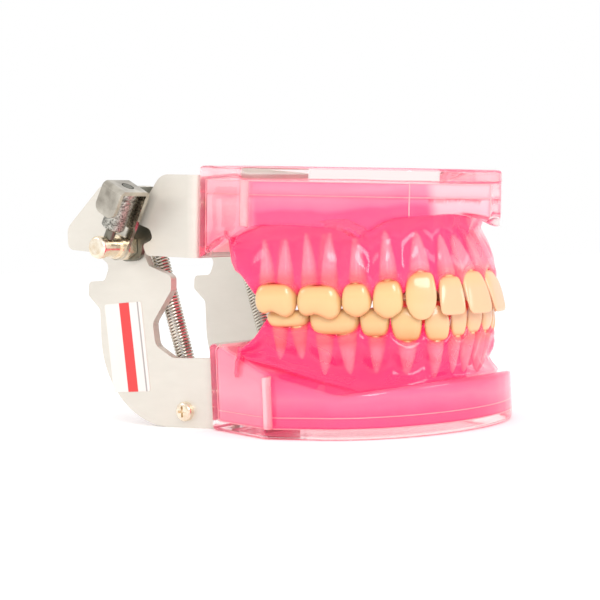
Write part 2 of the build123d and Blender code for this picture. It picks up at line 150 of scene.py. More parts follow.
def tube(path, radius, sides=8):
    """Rings of a round wire along a path."""
    rings = []
    for i, point in enumerate(path):
        ahead = path[min(i + 1, len(path) - 1)] - path[max(i - 1, 0)]
        ahead.normalize()
        side = ahead.cross(OFF_AXIS)
        side.normalize()
        up = side.cross(ahead)
        ring = []
        for k in range(sides):
            turn = 2 * pi * k / sides
            ring.append(tuple(point + radius * (side * cos(turn) + up * sin(turn))))
        rings.append(ring)
    return rings


def subdivide(obj, levels):
    """A subdivision surface."""
    modifier = obj.modifiers.new("smooth", "SUBSURF")
    modifier.levels = levels
    modifier.render_levels = levels


# ---- materials ----------------------------------------------------------------------------
BASE_REACH_Y = (-0.056, 0.011)   # the bases from front to back, in metres


def new_material(name):
    """An empty node material with its principled shader."""
    material = bpy.data.materials.new(name)
    material.use_nodes = True
    tree = material.node_tree
    shader = tree.nodes["Principled BSDF"]
    return material, tree, shader


def set_shader(shader, **values):
    """Constant values on the shader's own sockets."""
    for key, value in values.items():
        shader.inputs[key.replace("_", " ")].default_value = value


def noise(tree, scale, detail=3.0, stretch=(1, 1, 1)):
    """Noise in the object's own coordinates; scale is in features per metre."""
    coordinates = tree.nodes.new("ShaderNodeTexCoord")
    mapping = tree.nodes.new("ShaderNodeMapping")
    mapping.inputs["Scale"].default_value = stretch
    texture = tree.nodes.new("ShaderNodeTexNoise")
    texture.inputs["Scale"].default_value = scale
    texture.inputs["Detail"].default_value = detail
    tree.links.new(coordinates.outputs["Object"], mapping.inputs["Vector"])
    tree.links.new(mapping.outputs["Vector"], texture.inputs["Vector"])
    return texture.outputs["Fac"]


def ramp(tree, source, stops):
    """A colour ramp with (position, colour) stops."""
    node = tree.nodes.new("ShaderNodeValToRGB")
    elements = node.color_ramp.elements
    while len(elements) < len(stops):
        elements.new(0.5)
    for element, (position, colour) in zip(elements, stops):
        element.position = position
        element.color = (*colour, 1.0)
    tree.links.new(source, node.inputs["Fac"])
    return node.outputs["Color"]


def bump(tree, shader, source, strength, distance):
    """A bump from a height; distance is in metres."""
    node = tree.nodes.new("ShaderNodeBump")
    node.inputs["Strength"].default_value = strength
    node.inputs["Distance"].default_value = distance
    tree.links.new(source, node.inputs["Height"])
    tree.links.new(node.outputs["Normal"], shader.inputs["Normal"])


def height_above(tree, low, high, axis="Z"):
    """0 to 1 over a range of heights, or along another axis, in metres."""
    coordinates = tree.nodes.new("ShaderNodeTexCoord")
    split = tree.nodes.new("ShaderNodeSeparateXYZ")
    spread = tree.nodes.new("ShaderNodeMapRange")
    spread.inputs["From Min"].default_value = low
    spread.inputs["From Max"].default_value = high
    tree.links.new(coordinates.outputs["Object"], split.inputs["Vector"])
    tree.links.new(split.outputs[axis], spread.inputs["Value"])
    return spread.outputs["Result"]


def clear_acrylic():
    """Colourless polished acrylic with faint saw marks."""
    material, tree, shader = new_material("clear_acrylic")
    set_shader(shader, Base_Color=(1.0, 0.92, 0.91, 1), Roughness=0.02, IOR=1.16)
    shader.inputs["Transmission Weight"].default_value = 1.0
    shader.inputs["Coat Weight"].default_value = 0.5
    shader.inputs["Coat Roughness"].default_value = 0.03
    bump(tree, shader, noise(tree, 900, 2.0, (1, 1, 0.15)), 0.08, 0.0002)
    return material


def glow(shader, colour, strength):
    """A faint glow that stands in for light scattered inside the material."""
    shader.inputs["Emission Color"].default_value = (*colour, 1.0)
    shader.inputs["Emission Strength"].default_value = strength


def wavy_height(tree, low, high, scale, amount):
    """height_above with its level shifted by noise."""
    level = height_above(tree, low, high)
    shift = tree.nodes.new("ShaderNodeMath")
    shift.operation = "MULTIPLY_ADD"
    shift.inputs[1].default_value = amount
    tree.links.new(noise(tree, scale, 2.0), shift.inputs[0])
    tree.links.new(level, shift.inputs[2])
    return shift.outputs["Value"]


def between(tree, colour, other, zones):
    """A second colour mixed in by zones from the front of the model to its back."""
    along = height_above(tree, *BASE_REACH_Y, "Y")
    share = ramp(tree, along, [(at, (v, v, v)) for at, v in zones])
    mix = tree.nodes.new("ShaderNodeMixRGB")
    tree.links.new(share, mix.inputs["Fac"])
    tree.links.new(colour, mix.inputs["Color1"])
    tree.links.new(other, mix.inputs["Color2"])
    return mix.outputs["Color"]


def pink_acrylic(name, stops, alpha, band, scale, amount, shine, zones=None):
    """Cast pink acrylic in wavy clouded layers, that lets what is inside show through."""
    material, tree, shader = new_material(name)
    set_shader(shader, Roughness=0.12, Alpha=alpha, IOR=1.49)
    shader.inputs["Coat Weight"].default_value = shine
    shader.inputs["Coat Roughness"].default_value = 0.04
    glow(shader, (1.0, 0.07, 0.24), 0.3)
    level = wavy_height(tree, *band, scale, amount)
    colour = ramp(tree, level, stops)
    if zones:
        colour = between(tree, colour, ramp(tree, level, [(0.1, BLUSH), (0.6, PALE)]), zones)
    tree.links.new(colour, shader.inputs["Base Color"])
    bump(tree, shader, noise(tree, 420, 3.0), 0.15, 0.0005)
    return material


def tooth_enamel():
    """Glossy cream resin; the warmer, darker tone at the necks is painted shade where the teeth go into the
    gum.
    """
    material, tree, shader = new_material("tooth_enamel")
    set_shader(shader, Roughness=0.2, IOR=1.5)
    shader.inputs["Coat Weight"].default_value = 0.5
    shader.inputs["Coat Roughness"].default_value = 0.05
    # painted shade: the warmer, darker tone at the necks stands in for the shade where the teeth go into
    # the gum
    shaded_neck_tone = (0.66, 0.32, 0.11)
    pale = (0.76, 0.49, 0.22)
    peach = (0.78, 0.47, 0.27)
    root = (1.0, 0.68, 0.62)
    level = height_above(tree, 0.010, 0.046)
    stops = [(0.0, root), (0.22, root), (0.28, shaded_neck_tone), (0.4, pale), (0.58, pale), (0.68, shaded_neck_tone), (0.75, root)]
    front_tones = {shaded_neck_tone: pale, pale: peach, root: root}
    front_stops = [(at, front_tones[tone]) for at, tone in stops]
    zones = [(0.0, 1.0), (0.12, 1.0), (0.22, 0.0), (1.0, 0.0)]
    colour = between(tree, ramp(tree, level, stops), ramp(tree, level, front_stops), zones)
    tree.links.new(colour, shader.inputs["Base Color"])
    bump(tree, shader, noise(tree, 500, 2.0, (1, 1, 0.3)), 0.06, 0.0003)
    return material


def sheet_metal():
    """Satin plated sheet with a fine rolled grain."""
    material, tree, shader = new_material("plated_sheet")
    set_shader(shader, Metallic=0.55, Roughness=0.42)
    grain = noise(tree, 160, 3.0, (1, 1, 3))
    colour = ramp(tree, grain, [(0.2, (0.70, 0.66, 0.59)), (0.8, (0.74, 0.70, 0.63))])
    tree.links.new(colour, shader.inputs["Base Color"])
    bump(tree, shader, noise(tree, 2000, 2.0, (1, 1, 3)), 0.02, 0.0001)
    return material


def metal(name, dark, light, roughness, scale, grain):
    """Machined metal; its tone wanders between two colours."""
    material, tree, shader = new_material(name)
    set_shader(shader, Metallic=1.0, Roughness=roughness)
    colour = ramp(tree, noise(tree, scale, 4.0), [(0.35, dark), (0.65, light)])
    tree.links.new(colour, shader.inputs["Base Color"])
    bump(tree, shader, noise(tree, scale * 3, 2.0), grain, 0.0001)
    return material


LABEL_LEAN = -0.089              # shift of the band along Y per unit of height
LABEL_BAND_Y = (0.0290, 0.0410)  # the band pattern's ends at bench height, in metres


def label_paper():
    """White paper label with a plain red band along it and no lettering."""
    material, tree, shader = new_material("label_paper")
    set_shader(shader, Roughness=0.55)
    white = (0.80, 0.76, 0.72)
    red = (0.72, 0.05, 0.05)
    grey = (0.40, 0.36, 0.35)
    coordinates = tree.nodes.new("ShaderNodeTexCoord")
    split = tree.nodes.new("ShaderNodeSeparateXYZ")
    lean = tree.nodes.new("ShaderNodeMath")
    lean.operation = "MULTIPLY_ADD"
    lean.inputs[1].default_value = LABEL_LEAN
    spread = tree.nodes.new("ShaderNodeMapRange")
    spread.inputs["From Min"].default_value = LABEL_BAND_Y[0]
    spread.inputs["From Max"].default_value = LABEL_BAND_Y[1]
    tree.links.new(coordinates.outputs["Object"], split.inputs["Vector"])
    tree.links.new(split.outputs["Z"], lean.inputs[0])
    tree.links.new(split.outputs["Y"], lean.inputs[2])
    tree.links.new(lean.outputs["Value"], spread.inputs["Value"])
    stops = [(0.0, white), (0.11, white), (0.12, grey), (0.15, grey), (0.16, white), (0.36, white),
             (0.37, red), (0.63, red), (0.64, white)]
    colour = ramp(tree, spread.outputs["Result"], stops)
    tree.links.new(colour, shader.inputs["Base Color"])
    bump(tree, shader, noise(tree, 2500, 2.0), 0.1, 0.00005)
    return material


CLEAR = clear_acrylic()
HOT = (1.0, 0.04, 0.18)
ROSE = (1.0, 0.16, 0.30)
BLUSH = (1.0, 0.30, 0.42)
PALE = (1.0, 0.62, 0.65)
WHOLE_HEIGHT = (0.0, 0.06)   # metres above the bench
# share of the paler mix, from the front of the model to its back
UPPER_ZONES = [(0.0, 1.0), (0.15, 1.0), (0.17, 0.0), (0.65, 0.0), (0.68, 0.8), (1.0, 0.8)]
LOWER_ZONES = [(0.0, 0.0), (0.60, 0.0), (0.66, 0.4), (1.0, 0.4)]
UPPER_LAYERS = [(0.0, HOT), (0.5, HOT), (0.56, ROSE), (0.75, BLUSH), (1.0, ROSE)]
UPPER_CORE = pink_acrylic(
    "upper_pink_core", UPPER_LAYERS,
    alpha=0.96, band=(0.042, 0.060), scale=70, amount=0.22, shine=0.4, zones=UPPER_ZONES,
)
LOWER_CORE = pink_acrylic(
    "lower_pink_core", [(0.0, HOT), (0.3, HOT), (0.5, ROSE), (0.75, HOT), (1.0, HOT)],
    alpha=0.96, band=(0.002, 0.020), scale=60, amount=0.3, shine=0.4, zones=LOWER_ZONES,
)
GUM = pink_acrylic(
    "pink_gum", [(0.0, (1.0, 0.06, 0.2)), (0.5, (1.0, 0.02, 0.15)), (1.0, (1.0, 0.06, 0.2))],
    alpha=0.5, band=WHOLE_HEIGHT, scale=130, amount=0.5, shine=1.0,
)
DEEP = pink_acrylic(
    "deep_pink", [(0.3, (1.0, 0.015, 0.14)), (0.7, (1.0, 0.03, 0.18))],
    alpha=0.96, band=WHOLE_HEIGHT, scale=90, amount=0.5, shine=0.2,
)
SEAM = pink_acrylic(
    "pale_seam", [(0.3, (1.0, 0.52, 0.52)), (0.7, (1.0, 0.62, 0.60))],
    alpha=0.8, band=WHOLE_HEIGHT, scale=90, amount=0.5, shine=0.5,
)
TOOTH = tooth_enamel()
SHEET = sheet_metal()
# dark olive-grey steel; on the hinge arms its dark tone is painted shade for their shaded face behind the
# strap
DARK_STEEL_AND_SHADE = metal("dark_steel", (0.16, 0.155, 0.125), (0.24, 0.23, 0.19), 0.38, 200, 0.03)
BRIGHT = metal("bright_steel", (0.80, 0.66, 0.48), (0.93, 0.85, 0.72), 0.24, 500, 0.05)
KNURL = metal("knurled_steel", (0.10, 0.095, 0.08), (0.62, 0.60, 0.54), 0.3, 2400, 0.4)
STRAP = metal("strap_steel", (0.34, 0.31, 0.26), (0.74, 0.69, 0.60), 0.12, 160, 0.02)
SPRING = metal("spring_steel", (0.50, 0.46, 0.40), (0.80, 0.75, 0.66), 0.2, 300, 0.02)
LABEL = label_paper()


# ---- arches -------------------------------------------------------------------------------
class Arch:
    """A dental arch by distance from the midline; negative distances are the right side."""

    def __init__(self, half_width, depth, power, front):
        t = np.linspace(0.0, 1.4, 2801)
        self.x = half_width * t
        self.y = front + depth * t ** power
        steps = np.hypot(np.diff(self.x), np.diff(self.y))
        self.run = np.concatenate(([0.0], np.cumsum(steps)))
        self.angle = np.arctan2(np.gradient(self.y), np.gradient(self.x))

    def beside(self, distance, outward):
        """The point at an outward offset, towards the lips and cheeks."""
        run = abs(distance)
        angle = float(np.interp(run, self.run, self.angle))
        x = float(np.interp(run, self.run, self.x)) + outward * sin(angle)
        y = float(np.interp(run, self.run, self.y)) - outward * cos(angle)
        return copysign(x, distance), y

    def local(self, distance, u, v):
        """The point u along the arch's tangent at a distance and v inwards from it."""
        angle = float(np.interp(distance, self.run, self.angle))
        x = float(np.interp(distance, self.run, self.x)) + u * cos(angle) - v * sin(angle)
        y = float(np.interp(distance, self.run, self.y)) + u * sin(angle) + v * cos(angle)
        return x, y


UPPER = Arch(*UPPER_ARCH)
LOWER = Arch(*LOWER_ARCH)


# ---- teeth --------------------------------------------------------------------------------
# share of the crown's height from the neck, width share, outer face, inner face as a share of depth
INCISOR = [
    (0.0, 0.74, 0.75, 0.98), (0.12, 0.84, 0.30, 1.0), (0.3, 0.93, 0.0, 0.92), (0.55, 0.99, 0.0, 0.62),
    (0.8, 1.0, 0.25, 0.38), (0.92, 0.96, 0.45, 0.30), (0.98, 0.86, 0.62, 0.26), (1.0, 0.66, 0.85, 0.23),
]
CANINE = [
    (0.0, 0.74, 0.85, 0.98), (0.12, 0.85, 0.30, 1.0), (0.3, 0.95, 0.0, 0.95), (0.55, 1.02, 0.05, 0.72),
    (0.78, 1.0, 0.4, 0.48), (0.92, 0.84, 0.8, 0.36), (1.0, 0.5, 1.15, 0.30),
]
PREMOLAR = [
    (0.0, 0.74, 0.85, 0.92), (0.12, 0.84, 0.35, 0.98), (0.35, 0.97, 0.0, 1.0), (0.6, 1.03, 0.1, 0.99),
    (0.82, 1.05, 0.45, 0.93), (0.95, 0.94, 0.95, 0.86), (1.0, 0.76, 1.6, 0.78),
]
MOLAR = [
    (0.0, 0.78, 0.90, 0.93), (0.12, 0.87, 0.35, 0.98), (0.35, 0.98, 0.0, 1.0), (0.6, 1.03, 0.1, 0.99),
    (0.82, 1.03, 0.45, 0.94), (0.95, 0.97, 0.9, 0.88), (1.0, 0.86, 1.5, 0.82),
]
SECTIONS = {"incisor": INCISOR, "canine": CANINE, "premolar": PREMOLAR, "molar": MOLAR}
# place along and across the crown, and how much shorter the cusp is than the first one
CUSPS = {
    "premolar": [(0.0, -0.62, 0.0), (0.0, 0.62, 0.0)],
    "molar": [(-0.5, -0.62, 0.0), (0.5, -0.62, 0.9), (-0.45, 0.62, 0.0), (0.45, 0.62, 0.2)],
}
RELIEF = {"premolar": 1.5, "molar": 2.0}
LOWER_RELIEF = 0.25          # the lower cusps are hidden behind the upper ones and stay low
# how far the outer faces stand out from the line through the contacts
STAND_OUT = {"incisor": 0.4, "canine": 1.0, "premolar": 1.4, "molar": 1.6}
RING = 32


def section(width, v_out, v_in, share, power):
    """One closed ring of a crown as (u, v), outer face wider than the inner one."""
    points = []
    for i in range(RING):
        turn = 2 * pi * (i + 0.5) / RING
        across, through = cos(turn), sin(turn)
        u = width / 2 * copysign(abs(across) ** (2 / power), across)
        v_share = ((1 + copysign(abs(through) ** (2 / power), through)) / 2) ** 1.4
        points.append((u * (1 + (share - 1) * v_share), v_out + (v_in - v_out) * v_share))
    return points


def chew_height(kind, a, b, edge, upper):
    """Height of the chewing face; a runs -1 to 1 along the arch, b from the cheek inwards."""
    toward = 1 if upper else -1
    plane = edge
    if upper and kind in ("premolar", "molar"):
        plane = edge + (BITE_Z + 0.5 - edge) * smooth((b + 1) / 2, 0.16, 0.5)
    if kind == "incisor":
        return plane + toward * 0.9 * abs(a) ** 5
    if kind == "canine":
        return plane + toward * 2.0 * abs(a) ** 1.7
    spread = 0.42 if kind == "premolar" else 0.30
    relief = RELIEF[kind] * (1 if upper else LOWER_RELIEF)
    drops = []
    for cusp_a, cusp_b, shorter in CUSPS[kind]:
        away = (a - cusp_a) ** 2 + (b - cusp_b) ** 2
        drops.append(relief * (1 - exp(-away / spread)) + (shorter if upper else 0.0))
    return plane + toward * min(drops)


def crown_rings(width, share, depth, neck, edge, kind, lean, upper):
    """Rings of a crown from its neck to the middle of its chewing face."""
    power = 2.7 if kind == "molar" else 2.6
    rings = []
    rows = [(h, w, out, inner, 1.0) for h, w, out, inner in SECTIONS[kind]]
    last = SECTIONS[kind][-1]
    caps = (0.78, 0.55, 0.3, 0.1) if kind in ("premolar", "molar") else (0.7, 0.3)
    rows += [(*last, cap) for cap in caps]
    for h, wide, out, inner, cap in rows:
        half = (width + 0.06) / 2
        ring = section(2 * half * wide, out, inner * depth, share, power)
        middle_v = (out + inner * depth) / 2
        placed = []
        for u, v in ring:
            u *= cap
            v = middle_v + (v - middle_v) * cap
            a = u / half
            b = 2 * v / depth - 1
            if kind == "molar" and b < 0:
                v += 0.55 * h * exp(-((a + 0.02) / 0.13) ** 2) * -b
            top = chew_height(kind, a, b, edge, upper)
            z = neck + h * (top - neck)
            placed.append((u, v + lean * abs(z - edge) - STAND_OUT[kind], z))
        rings.append(placed)
    return rings


# share of the root's length from the neck, share of its thickness
ROOT_TAPER = [
    (-0.12, 0.96), (0.0, 1.0), (0.2, 0.92), (0.45, 0.74),
    (0.7, 0.54), (0.88, 0.36), (0.97, 0.18), (1.0, 0.05),
]


def root_rings(width, depth, neck, apex, centre_u, centre_v, slope, bend):
    """Rings of one root from the neck to its rounded tip."""
    rings = []
    for share, size in ROOT_TAPER:
        z = neck + share * (apex - neck)
        shift_u = centre_u + bend * share ** 2 if share > 0 else centre_u
        ring = []
        for i in range(RING):
            turn = 2 * pi * (i + 0.5) / RING
            u = shift_u + width / 2 * size * cos(turn)
            v = centre_v + depth / 2 * size * sin(turn)
            ring.append((u, v + slope[0] + slope[1] * abs(z - neck), z))
        rings.append(ring)
    return rings


def roots(kind, width, depth, neck, apex, slope, upper):
    """One root, or two or three for a molar."""
    if kind != "molar":
        return [root_rings(width * 0.62, depth * 0.8, neck, apex, 0, depth * 0.5, slope, width * 0.08)]
    found = [
        root_rings(width * 0.4, depth * 0.42, neck, apex, -width * 0.22, depth * 0.3, slope, -0.3),
        root_rings(width * 0.38, depth * 0.42, neck, apex, width * 0.22, depth * 0.3, slope, 0.5),
    ]
    if upper:
        found.append(root_rings(width * 0.44, depth * 0.4, neck, apex, 0, depth * 0.74, slope, 0.0))
    return found


def make_tooth(jaw, side, row, arch, middle):
    """Crown and roots of one tooth, at its place on the arch."""
    name, width, share, depth, neck, edge, apex, kind, lean = row
    upper = jaw == "upper"
    groups = [crown_rings(width, share, depth, neck, edge, kind, lean, upper)]
    slope = (lean * abs(neck - edge) - STAND_OUT[kind], lean)
    groups += roots(kind, width, depth, neck, apex, slope, upper)
    points = []
    faces = []
    for rings in groups:
        faces += loft(rings, start=len(points))
        for ring in rings:
            for u, v, z in ring:
                x, y = arch.local(middle, u, v)
                points.append((x if side == "left" else -x, y, z))
    flip = (side == "right") == upper
    node = f"{jaw}_{side}_{name}"
    obj = mesh_object(node + "_form", points, faces, TOOTH, flip)
    subdivide(obj, 1)
    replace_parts(obj, node)
    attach(obj, jaw + "_jaw")


def make_teeth(jaw, rows, arch):
    """All the teeth of a jaw."""
    distance = 0.0
    for row in rows:
        middle = distance + row[1] / 2
        distance += row[1]
        for side in ("right", "left"):
            make_tooth(jaw, side, row, arch, middle)


# ---- gums ---------------------------------------------------------------------------------
def tooth_at(rows, distance):
    """The tooth row at a distance along the arch, and the place in it from -1 to 1."""
    start = 0.0
    for row in rows:
        if distance <= start + row[1]:
            return row, 2 * (distance - start) / row[1] - 1
        start += row[1]
    return rows[-1], 1 + (distance - start)


def hold_inside(x, y, heel, gap):
    """Moves a point that is outside a slanted heel face back to just inside it."""
    (x0, y0), (x1, y1) = heel
    length = hypot(x1 - x0, y1 - y0)
    normal = (-(y1 - y0) / length, (x1 - x0) / length)
    out = (abs(x) - x0) * normal[0] + (y - y0) * normal[1] + gap
    if out > 0:
        x = copysign(abs(x) - out * normal[0], x)
        y -= out * normal[1]
    return x, y


# share of the way from the gum margin to the flange's lip, outward offset from the margin
UPPER_CHEEK = [(0.0, 0.0), (0.03, 0.4), (0.1, 0.7), (0.22, 0.75), (0.38, 0.5), (0.5, 0.1), (0.6, -0.3),
               (0.7, -0.6), (0.8, -0.5), (0.87, 0.2), (0.94, 0.9), (1.0, 1.1)]
LOWER_CHEEK = [(0.0, 0.0), (0.03, 0.4), (0.1, 0.65), (0.22, 0.7), (0.38, 0.4), (0.52, -0.1), (0.64, -0.4),
               (0.74, -0.2), (0.84, 0.5), (0.92, 1.3), (1.0, 2.0)]
INNER = [(1.0, 2.2), (0.8, 1.6), (0.55, 1.1), (0.3, 0.7), (0.1, 0.45), (0.02, 0.1)]
# distances along the arch, and the heights of the flange's lip there
UPPER_LIP = (
    [0, 8, 18, 25, 29.3, 34, 45, 54, 60, 66],
    [46.6, 48.0, 47.8, 46.2, 43.8, 46.4, 47.2, 46.2, 43.6, 41.0],
)
LOWER_LIP = ([0, 10, 20, 30, 40, 50, 62], [12.4, 12.2, 10.6, 9.8, 12.6, 16.0, 19.0])

PAPILLA_SINK = 1.9       # how far the gum's edge runs in between two teeth
BEHIND_DROP = 0.75       # fall of the margin per millimetre behind the last tooth
HEEL_GAP = 1.0           # clear of the slanted heel face
BURIED_HEEL_GAP = 2.4    # further in where the gum is inside the base


def gum_section(distance, rows, arch, cheek, lip, buried, rise, heel):
    """One closed ring of the gum across the arch, from the cheek side over the ridge and down inside."""
    run = abs(distance)
    upper = buried > BITE_Z
    toward = -1 if upper else 1
    edges = np.cumsum([0.0] + [row[1] for row in rows])
    middles = (edges[:-1] + edges[1:]) / 2
    neck = float(np.interp(run, middles, [row[4] for row in rows]))
    edge = float(np.interp(run, middles, [row[5] for row in rows]))
    depth = float(np.interp(run, middles, [row[3] for row in rows]))
    lean = float(np.interp(run, middles, [row[8] for row in rows]))
    out = float(np.interp(run, middles, [STAND_OUT[row[7]] for row in rows]))
    lift = float(np.interp(run, middles, [rise * (0.6 if row[7] == "molar" else 1.0) for row in rows]))
    phase = tooth_at(rows, run)[1]
    behind = max(0.0, phase - 1)
    swell = cos(pi / 2 * min(1.0, abs(phase))) ** 2
    papilla = min(1.0, abs(phase)) ** 2.4 * (1 - smooth(behind, 0.0, 3.0))
    lip_z = float(np.interp(run, *lip))
    margin = neck + toward * lift * papilla - toward * BEHIND_DROP * behind
    if upper:
        margin = min(margin, lip_z - 1.5)
    else:
        margin = max(margin, lip_z + 1.5)
    slope_back = lean * abs(margin - edge)
    start = out - slope_back - 0.7 - PAPILLA_SINK * papilla
    ring = []
    for share, offset in cheek:
        z = margin + share * (lip_z - margin)
        body = 0.5 * swell * sin(pi * min(1.0, share * 1.3)) if share < 0.77 else 0.0
        recover = PAPILLA_SINK * papilla * smooth(share, 0.0, 0.16)
        ring.append((start + offset + body + recover - lean * abs(z - margin) * 0.9, z))
    last, z = ring[-1]
    ring += [(last - 0.25, z - toward * 0.5), (last - 1.2, z - toward * 0.9)]
    ring += [(last - 3.8, z - toward * 1.3), (last - 4.0, buried)]
    inner = out - (depth + slope_back) - 0.1
    for share, offset in INNER:
        ring.append((inner - offset, margin + share * (buried - margin)))
    placed = []
    for outward, z in ring:
        x, y = arch.beside(distance, outward)
        sunk = smooth((lip_z - z) * toward, 0.3, 1.6)
        x, y = hold_inside(x, y, heel, HEEL_GAP + BURIED_HEEL_GAP * sunk)
        placed.append((x, y, z))
    return placed


def make_gum(jaw, rows, arch, cheek, lip, buried, rise, reach, heel):
    """The gum ridge of a jaw, lofted round the arch."""
    steps = int(reach / 0.4)
    rings = []
    for i in range(-steps, steps + 1):
        distance = reach * i / steps if i else 1e-6
        end = smooth(reach - abs(distance), 0.0, 2.0)
        ring = gum_section(distance, rows, arch, cheek, lip, buried, rise, heel)
        rings.append([(x, y, buried + (z - buried) * (0.6 + 0.4 * end)) for x, y, z in ring])
    points = [p for ring in rings for p in ring]
    obj = mesh_object(jaw + "_gum_form", points, loft(rings), GUM, jaw == "upper")
    obj.data.materials.append(DEEP)
    around = len(rings[0])
    for face in obj.data.polygons[:(len(rings) - 1) * around]:
        if face.index % around > len(cheek):
            face.material_index = 1
    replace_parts(obj, jaw + "_gum")
    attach(obj, jaw + "_jaw")


PALATE_EDGE = -9.5       # inwards from the arch
PALATE_Z = 38.5
VAULT_RISE = 5.5
PALATE_TOP_Z = 48.0


def make_palate(arch, reach):
    """The vault of the palate, a dished slab between the two sides of the arch."""
    columns, across = 40, 24
    points = []
    for low in (True, False):
        for i in range(columns + 1):
            distance = 1.0 + (reach - 1.0) * i / columns
            x, y = arch.beside(distance, PALATE_EDGE)
            x = max(x, 0.2)
            x, y = hold_inside(x, y, UPPER_PLAN[:2], 1.5)
            for j in range(across + 1):
                share = 2 * j / across - 1
                front = smooth(distance, 0.0, 30.0)
                z = PALATE_Z + VAULT_RISE * front * (1 - share ** 4) if low else PALATE_TOP_Z
                points.append((share * x, y, z))
    faces = []
    size = (columns + 1) * (across + 1)
    for layer in (0, 1):
        for i in range(columns):
            for j in range(across):
                a = layer * size + i * (across + 1) + j
                quad = (a, a + 1, a + across + 2, a + across + 1)
                faces.append(quad if layer else tuple(reversed(quad)))
    obj = mesh_object("upper_palate", points, faces, GUM)
    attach(obj, "upper_jaw")


# ---- acrylic bases --------------------------------------------------------------------------
UPPER_WALL = 2.6         # clear wall round the core
UPPER_LAYER = 3.4        # clear layer above the core
LOWER_WALL = 2.4
LOWER_LAYER = 2.2        # clear layer below the core
UPPER_SEAM_DEPTH = 2.5   # the seams lie just outside the cores
LOWER_SEAM_DEPTH = 2.3
UPPER_SEAM_LEVELS = (TOP_Z - 3.3, TOP_Z - 6.3)
LOWER_SEAM_LEVELS = (2.2, 4.6)
SEAM_R = 0.11
THIN_POST_R = 0.13
POST_GAP = 0.6           # between a post's ends and the two levels that it runs between
UPPER_POST_TOP = TOP_Z - 2.7
LOWER_POST_FOOT = 1.6
# corner of the plan, and the radius of the post there
UPPER_POSTS = [(UPPER_PLAN[1], 1.0)] + [(UPPER_PLAN[i], THIN_POST_R) for i in (2, 3, 0)]
LOWER_POSTS = [(LOWER_HEEL[1], 1.1), (LOWER_HEEL[0], THIN_POST_R)]


def rounded(points, radius):
    """A closed outline with its corners rounded, resampled in even steps."""
    dense = []
    count = len(points)
    for i, corner in enumerate(points):
        here = Vector(corner)
        before = Vector(points[i - 1]) - here
        after = Vector(points[(i + 1) % count]) - here
        reach = min(radius, before.length * 0.45, after.length * 0.45)
        first = here + before.normalized() * reach
        last = here + after.normalized() * reach
        for k in range(9):
            t = k / 8
            dense.append(first * (1 - t) ** 2 + here * 2 * t * (1 - t) + last * t * t)
    line = np.array([tuple(p) for p in dense + dense[:1]])
    run = np.concatenate(([0.0], np.cumsum(np.hypot(*np.diff(line, axis=0).T))))
    even = np.linspace(0.0, run[-1], 241)[:-1]
    return list(zip(np.interp(even, run, line[:, 0]), np.interp(even, run, line[:, 1])))


def upper_outline():
    """Plan of the upper base: slanted heels, tapering sides and a pointed front."""
    return UPPER_PLAN + [(-x, y) for x, y in reversed(UPPER_PLAN[:-1])]


def lower_outline():
    """Plan of the lower base: slanted heels, short sides and a half ellipse in front."""
    side_x, side_y = LOWER_SIDE
    front = []
    for i in range(1, 20):
        turn = pi * i / 20
        front.append((side_x * cos(turn), side_y - (side_y - LOWER_TIP_Y) * sin(turn)))
    heel = LOWER_HEEL + [LOWER_SIDE]
    return heel + front + [(-x, y) for x, y in reversed(heel)]


def inset(points, depth):
    """A convex outline with its sides moved inwards."""
    moved = []
    for i, corner in enumerate(points):
        here = Vector(corner)
        before = (here - Vector(points[i - 1])).normalized()
        after = (Vector(points[(i + 1) % len(points)]) - here).normalized()
        normal_before = Vector((before.y, -before.x))
        normal_after = Vector((after.y, -after.x))
        reach = depth / (1 + normal_before.dot(normal_after))
        moved.append(tuple(here + (normal_before + normal_after) * reach))
    return moved


def profile(points, y):
    """Height along a side profile, its corners eased."""
    ys = [p[0] for p in points]
    zs = [p[1] for p in points]
    return sum(float(np.interp(y + step, ys, zs)) for step in (-1.2, -0.6, 0.0, 0.6, 1.2)) / 5


def as_drawn(x, y, z):
    """The lower base's points stay where they are drawn; the upper base's go through tilt()."""
    return x, y, z


def block(outline, low, high, depth, edge, corner, turn=as_drawn, groove=None):
    """Rings of a base block between two height functions, inset by a depth, with rounded edges."""
    middle_y = (min(y for x, y in outline) + max(y for x, y in outline)) / 2

    def ring(inward, height, scale=1.0):
        placed = []
        for x, y in rounded(inset(outline, inward), corner):
            x, y = x * scale, middle_y + (y - middle_y) * scale
            placed.append(turn(x, y, height(y)))
        return placed

    caps = (0.05, 0.25, 0.45, 0.62, 0.78, 0.9, 0.97)
    rings = [ring(depth + edge, low, scale) for scale in caps]
    for step in range(5):
        a = pi / 2 * step / 4
        rings.append(ring(depth + edge * (1 - sin(a)), lambda y, a=a: low(y) + edge * (1 - cos(a))))
    for share in (0.25, 0.5):
        rings.append(ring(depth, lambda y, s=share: low(y) + edge + s * (high(y) - low(y) - 2 * edge)))
    if groove:
        for rise, sink in ((-0.3, 0.0), (-0.1, 0.4), (0.1, 0.4), (0.3, 0.0)):
            rings.append(ring(depth + sink, lambda y, r=rise: high(y) - groove + r))
    for step in range(5):
        a = pi / 2 * step / 4
        rings.append(ring(depth + edge * (1 - cos(a)), lambda y, a=a: high(y) - edge * (1 - sin(a))))
    rings += [ring(depth + edge, high, scale) for scale in reversed(caps)]
    return rings


def base_piece(name, rings, material, jaw, flip=False):
    """A base block as a piece."""
    points = [p for ring in rings for p in ring]
    obj = mesh_object(name, points, loft(rings), material, flip)
    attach(obj, jaw + "_jaw")
    return obj


def level_seams(outline, depth, levels, turn):
    """Thin closed paths round the core, one per level."""
    paths = []
    for level in levels:
        line = [Vector(turn(x, y, level)) for x, y in rounded(inset(outline, depth), 0.6)]
        paths.append((line + line[:1], SEAM_R))
    return paths


